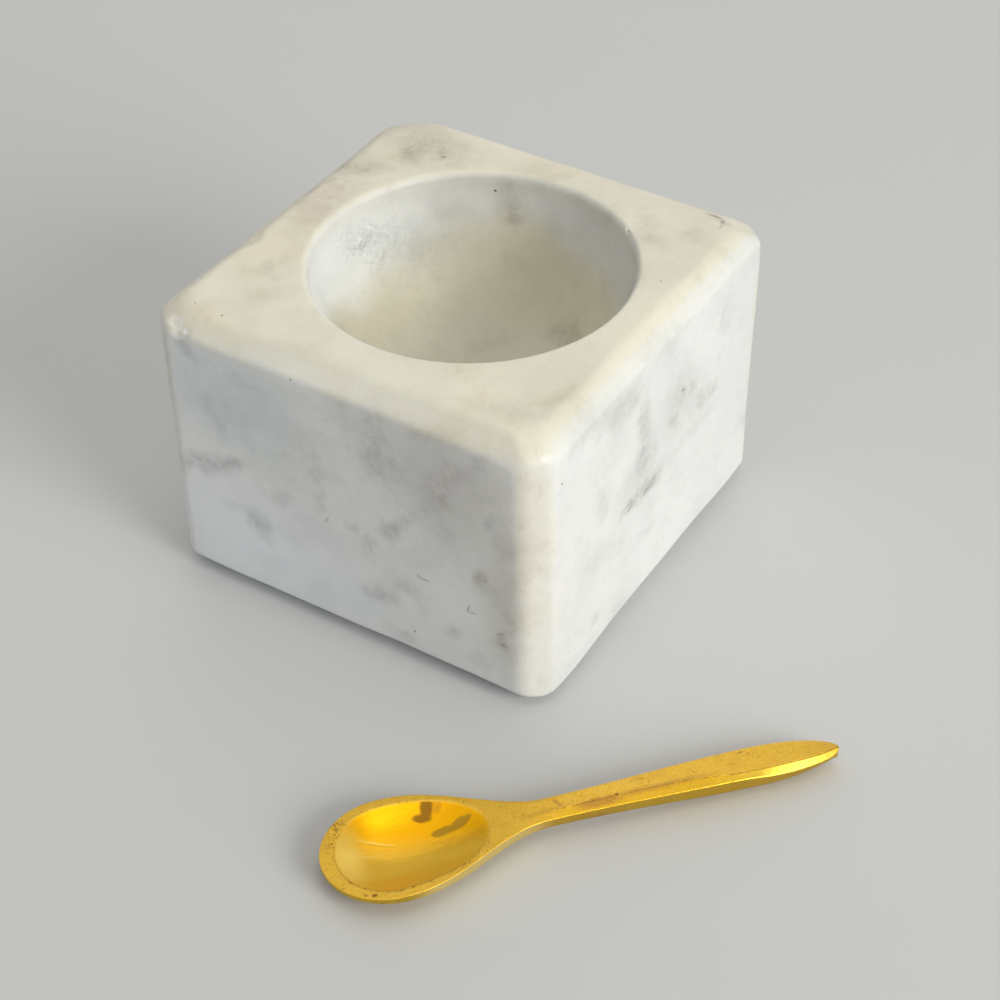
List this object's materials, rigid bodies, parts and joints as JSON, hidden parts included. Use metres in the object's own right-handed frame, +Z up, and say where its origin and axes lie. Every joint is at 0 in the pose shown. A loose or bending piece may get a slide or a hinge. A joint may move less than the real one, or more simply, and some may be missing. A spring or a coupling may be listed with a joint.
{
  "type": "salt cellar",
  "caption": "Open salt cellar: a bevelled square block of white marble with a round bowl turned into its top, and a small solid brass spoon that lies in front of it.",
  "frame": {"origin": "middle of the block's underside, on the table", "axes": "+Z up, out of the bowl; the left face in the picture looks along -Y and the right face along +X; the spoon lies in front of the corner between them"},
  "size_m": [0.1222, 0.1257, 0.0553],
  "materials": {
    "marble": "white marble with soft grey veins, honed to a low sheen",
    "brass": "solid brass, polished in the hollow and worn grainy on the rim and handle"
  },
  "bodies": {
    "block": {"marble_block": "marble"},
    "spoon": {"spoon": "brass"}
  },
  "joints": [
    {"name": "spoon_lift", "type": "slide", "parent": "block", "child": "spoon", "axis": [0, 0, 1], "range_m": [0, 0.08]}
  ]
}
